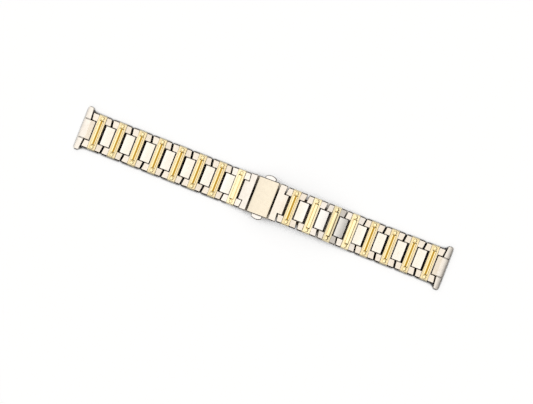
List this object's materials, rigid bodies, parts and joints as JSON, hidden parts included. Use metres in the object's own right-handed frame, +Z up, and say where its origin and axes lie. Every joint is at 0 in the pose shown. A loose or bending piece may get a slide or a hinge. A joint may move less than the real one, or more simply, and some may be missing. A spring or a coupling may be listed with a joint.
{
  "type": "link watch bracelet",
  "caption": "Straight steel and gold link bracelet for a wristwatch, with H-shaped links, flared end pieces and a push-button fold-over clasp",
  "frame": {"origin": "on the table, under the middle of the band's length and width", "axes": "+X along the band towards the side whose links lie over the clasp blades, +Z up, +Y across the band"},
  "size_m": [0.173, 0.0206, 0.0102],
  "materials": {
    "blade_steel": "fine satin brushed stainless steel",
    "button_steel": "fine satin brushed stainless steel",
    "centre_link_steel": "fine satin brushed stainless steel",
    "clasp_link_steel": "fine satin brushed stainless steel",
    "cover_steel": "fine satin brushed stainless steel",
    "end_piece_steel": "fine satin brushed stainless steel",
    "gold_plate": "satin gold plate with a polished rib",
    "outer_link_steel": "fine satin brushed stainless steel",
    "pin_steel": "fine satin brushed stainless steel",
    "spring_steel": "fine satin brushed stainless steel"
  },
  "bodies": {
    "lower_blade": {"lower_blade": "blade_steel", "fold_hinge_pin": "pin_steel"},
    "upper_blade": {"upper_blade": "blade_steel", "clasp_cover": "cover_steel", "front_button_spring": "spring_steel", "rear_button_spring": "spring_steel"},
    "front_push_button": {"front_push_button": "button_steel"},
    "rear_push_button": {"rear_push_button": "button_steel"},
    "left_clasp_link": {"left_clasp_link": "clasp_link_steel", "left_clasp_pin": "pin_steel"},
    "left_outer_link_8": {"left_outer_link_8": "outer_link_steel", "left_gold_bar_8": "gold_plate"},
    "left_centre_link_7": {"left_centre_link_7": "centre_link_steel"},
    "left_outer_link_7": {"left_outer_link_7": "outer_link_steel", "left_gold_bar_7": "gold_plate"},
    "left_centre_link_6": {"left_centre_link_6": "centre_link_steel"},
    "left_outer_link_6": {"left_outer_link_6": "outer_link_steel", "left_gold_bar_6": "gold_plate"},
    "left_centre_link_5": {"left_centre_link_5": "centre_link_steel"},
    "left_outer_link_5": {"left_outer_link_5": "outer_link_steel", "left_gold_bar_5": "gold_plate"},
    "left_centre_link_4": {"left_centre_link_4": "centre_link_steel"},
    "left_outer_link_4": {"left_outer_link_4": "outer_link_steel", "left_gold_bar_4": "gold_plate"},
    "left_centre_link_3": {"left_centre_link_3": "centre_link_steel"},
    "left_outer_link_3": {"left_outer_link_3": "outer_link_steel", "left_gold_bar_3": "gold_plate"},
    "left_centre_link_2": {"left_centre_link_2": "centre_link_steel"},
    "left_outer_link_2": {"left_outer_link_2": "outer_link_steel", "left_gold_bar_2": "gold_plate"},
    "left_centre_link_1": {"left_centre_link_1": "centre_link_steel"},
    "left_outer_link_1": {"left_outer_link_1": "outer_link_steel", "left_gold_bar_1": "gold_plate"},
    "left_end_piece": {"left_end_piece": "end_piece_steel"},
    "right_clasp_link": {"right_clasp_link": "clasp_link_steel", "right_clasp_pin": "pin_steel"},
    "right_outer_link_8": {"right_outer_link_8": "outer_link_steel", "right_gold_bar_8": "gold_plate"},
    "right_centre_link_7": {"right_centre_link_7": "centre_link_steel"},
    "right_outer_link_7": {"right_outer_link_7": "outer_link_steel", "right_gold_bar_7": "gold_plate"},
    "right_centre_link_6": {"right_centre_link_6": "centre_link_steel"},
    "right_outer_link_6": {"right_outer_link_6": "outer_link_steel", "right_gold_bar_6": "gold_plate"},
    "right_centre_link_5": {"right_centre_link_5": "centre_link_steel"},
    "right_outer_link_5": {"right_outer_link_5": "outer_link_steel", "right_gold_bar_5": "gold_plate"},
    "right_centre_link_4": {"right_centre_link_4": "centre_link_steel"},
    "right_outer_link_4": {"right_outer_link_4": "outer_link_steel", "right_gold_bar_4": "gold_plate"},
    "right_centre_link_3": {"right_centre_link_3": "centre_link_steel"},
    "right_outer_link_3": {"right_outer_link_3": "outer_link_steel", "right_gold_bar_3": "gold_plate"},
    "right_centre_link_2": {"right_centre_link_2": "centre_link_steel"},
    "right_outer_link_2": {"right_outer_link_2": "outer_link_steel", "right_gold_bar_2": "gold_plate"},
    "right_centre_link_1": {"right_centre_link_1": "centre_link_steel"},
    "right_outer_link_1": {"right_outer_link_1": "outer_link_steel", "right_gold_bar_1": "gold_plate"},
    "right_end_piece": {"right_end_piece": "end_piece_steel"}
  },
  "joints": [
    {"name": "clasp_fold", "type": "hinge", "parent": "lower_blade", "child": "upper_blade", "pos_m": [0.03402, 0, 0.00155], "axis": [0, 1, 0], "range_deg": [0, 160]},
    {"name": "front_button_press", "type": "slide", "parent": "upper_blade", "child": "front_push_button", "axis": [0, 1, 0], "range_m": [0, 0.0006], "stiffness_N_per_m": 300, "deforming": ["front_button_spring"]},
    {"name": "rear_button_press", "type": "slide", "parent": "upper_blade", "child": "rear_push_button", "axis": [0, -1, 0], "range_m": [0, 0.0006], "stiffness_N_per_m": 300, "deforming": ["rear_button_spring"]},
    {"name": "left_clasp_link_hinge", "type": "hinge", "parent": "lower_blade", "child": "left_clasp_link", "pos_m": [-0.00637, 0, 0.00412], "axis": [0, 1, 0], "range_deg": [-8, 15]},
    {"name": "left_outer_link_8_hinge", "type": "hinge", "parent": "left_clasp_link", "child": "left_outer_link_8", "pos_m": [-0.00906, 0, 0.00303], "axis": [0, 1, 0], "range_deg": [-21.19, 2.81]},
    {"name": "left_centre_link_7_hinge", "type": "hinge", "parent": "left_outer_link_8", "child": "left_centre_link_7", "pos_m": [-0.0155, 0, 0.00156], "axis": [0, 1, 0], "range_deg": [-21.74, 2.26]},
    {"name": "left_outer_link_7_hinge", "type": "hinge", "parent": "left_centre_link_7", "child": "left_outer_link_7", "pos_m": [-0.01839, 0, 0.0014], "axis": [0, 1, 0], "range_deg": [-15.13, 8.87]},
    {"name": "left_centre_link_6_hinge", "type": "hinge", "parent": "left_outer_link_7", "child": "left_centre_link_6", "pos_m": [-0.02499, 0, 0.0014], "axis": [0, 1, 0], "range_deg": [-12, 12]},
    {"name": "left_outer_link_6_hinge", "type": "hinge", "parent": "left_centre_link_6", "child": "left_outer_link_6", "pos_m": [-0.02789, 0, 0.0014], "axis": [0, 1, 0], "range_deg": [-12, 12]},
    {"name": "left_centre_link_5_hinge", "type": "hinge", "parent": "left_outer_link_6", "child": "left_centre_link_5", "pos_m": [-0.03449, 0, 0.0014], "axis": [0, 1, 0], "range_deg": [-12, 12]},
    {"name": "left_outer_link_5_hinge", "type": "hinge", "parent": "left_centre_link_5", "child": "left_outer_link_5", "pos_m": [-0.03739, 0, 0.0014], "axis": [0, 1, 0], "range_deg": [-12, 12]},
    {"name": "left_centre_link_4_hinge", "type": "hinge", "parent": "left_outer_link_5", "child": "left_centre_link_4", "pos_m": [-0.04399, 0, 0.0014], "axis": [0, 1, 0], "range_deg": [-12, 12]},
    {"name": "left_outer_link_4_hinge", "type": "hinge", "parent": "left_centre_link_4", "child": "left_outer_link_4", "pos_m": [-0.04689, 0, 0.0014], "axis": [0, 1, 0], "range_deg": [-12, 12]},
    {"name": "left_centre_link_3_hinge", "type": "hinge", "parent": "left_outer_link_4", "child": "left_centre_link_3", "pos_m": [-0.05349, 0, 0.0014], "axis": [0, 1, 0], "range_deg": [-12, 12]},
    {"name": "left_outer_link_3_hinge", "type": "hinge", "parent": "left_centre_link_3", "child": "left_outer_link_3", "pos_m": [-0.05639, 0, 0.0014], "axis": [0, 1, 0], "range_deg": [-12, 12]},
    {"name": "left_centre_link_2_hinge", "type": "hinge", "parent": "left_outer_link_3", "child": "left_centre_link_2", "pos_m": [-0.06299, 0, 0.0014], "axis": [0, 1, 0], "range_deg": [-12, 12]},
    {"name": "left_outer_link_2_hinge", "type": "hinge", "parent": "left_centre_link_2", "child": "left_outer_link_2", "pos_m": [-0.06589, 0, 0.0014], "axis": [0, 1, 0], "range_deg": [-12, 12]},
    {"name": "left_centre_link_1_hinge", "type": "hinge", "parent": "left_outer_link_2", "child": "left_centre_link_1", "pos_m": [-0.07249, 0, 0.0014], "axis": [0, 1, 0], "range_deg": [-12, 12]},
    {"name": "left_outer_link_1_hinge", "type": "hinge", "parent": "left_centre_link_1", "child": "left_outer_link_1", "pos_m": [-0.07539, 0, 0.0014], "axis": [0, 1, 0], "range_deg": [-12, 12]},
    {"name": "left_end_piece_hinge", "type": "hinge", "parent": "left_outer_link_1", "child": "left_end_piece", "pos_m": [-0.08199, 0, 0.0014], "axis": [0, 1, 0], "range_deg": [-12, 12]},
    {"name": "right_clasp_link_hinge", "type": "hinge", "parent": "upper_blade", "child": "right_clasp_link", "pos_m": [0.00691, 0, 0.00769], "axis": [0, -1, 0], "range_deg": [0, 15]},
    {"name": "right_outer_link_8_hinge", "type": "hinge", "parent": "right_clasp_link", "child": "right_outer_link_8", "pos_m": [0.0098, 0, 0.008], "axis": [0, -1, 0], "range_deg": [0, 17.08]},
    {"name": "right_centre_link_7_hinge", "type": "hinge", "parent": "right_outer_link_8", "child": "right_centre_link_7", "pos_m": [0.0164, 0, 0.00813], "axis": [0, -1, 0], "range_deg": [0, 17.08]},
    {"name": "right_outer_link_7_hinge", "type": "hinge", "parent": "right_centre_link_7", "child": "right_outer_link_7", "pos_m": [0.01929, 0, 0.00792], "axis": [0, -1, 0], "range_deg": [0, 17.08]},
    {"name": "right_centre_link_6_hinge", "type": "hinge", "parent": "right_outer_link_7", "child": "right_centre_link_6", "pos_m": [0.02581, 0, 0.00688], "axis": [0, -1, 0], "range_deg": [0, 17.08]},
    {"name": "right_outer_link_6_hinge", "type": "hinge", "parent": "right_centre_link_6", "child": "right_outer_link_6", "pos_m": [0.02862, 0, 0.00617], "axis": [0, -1, 0], "range_deg": [0, 17.08]},
    {"name": "right_centre_link_5_hinge", "type": "hinge", "parent": "right_outer_link_6", "child": "right_centre_link_5", "pos_m": [0.03485, 0, 0.004], "axis": [0, -1, 0], "range_deg": [-9.54, 14.46]},
    {"name": "right_outer_link_5_hinge", "type": "hinge", "parent": "right_centre_link_5", "child": "right_outer_link_5", "pos_m": [0.03754, 0, 0.00292], "axis": [0, -1, 0], "range_deg": [-21.48, 2.52]},
    {"name": "right_centre_link_4_hinge", "type": "hinge", "parent": "right_outer_link_5", "child": "right_centre_link_4", "pos_m": [0.044, 0, 0.00153], "axis": [0, -1, 0], "range_deg": [-21.72, 2.28]},
    {"name": "right_outer_link_4_hinge", "type": "hinge", "parent": "right_centre_link_4", "child": "right_outer_link_4", "pos_m": [0.04689, 0, 0.0014], "axis": [0, -1, 0], "range_deg": [-14.51, 9.49]},
    {"name": "right_centre_link_3_hinge", "type": "hinge", "parent": "right_outer_link_4", "child": "right_centre_link_3", "pos_m": [0.05349, 0, 0.0014], "axis": [0, -1, 0], "range_deg": [-12, 12]},
    {"name": "right_outer_link_3_hinge", "type": "hinge", "parent": "right_centre_link_3", "child": "right_outer_link_3", "pos_m": [0.05639, 0, 0.0014], "axis": [0, -1, 0], "range_deg": [-12, 12]},
    {"name": "right_centre_link_2_hinge", "type": "hinge", "parent": "right_outer_link_3", "child": "right_centre_link_2", "pos_m": [0.06299, 0, 0.0014], "axis": [0, -1, 0], "range_deg": [-12, 12]},
    {"name": "right_outer_link_2_hinge", "type": "hinge", "parent": "right_centre_link_2", "child": "right_outer_link_2", "pos_m": [0.06589, 0, 0.0014], "axis": [0, -1, 0], "range_deg": [-12, 12]},
    {"name": "right_centre_link_1_hinge", "type": "hinge", "parent": "right_outer_link_2", "child": "right_centre_link_1", "pos_m": [0.07249, 0, 0.0014], "axis": [0, -1, 0], "range_deg": [-12, 12]},
    {"name": "right_outer_link_1_hinge", "type": "hinge", "parent": "right_centre_link_1", "child": "right_outer_link_1", "pos_m": [0.07539, 0, 0.0014], "axis": [0, -1, 0], "range_deg": [-12, 12]},
    {"name": "right_end_piece_hinge", "type": "hinge", "parent": "right_outer_link_1", "child": "right_end_piece", "pos_m": [0.08199, 0, 0.0014], "axis": [0, -1, 0], "range_deg": [-12, 12]}
  ]
}
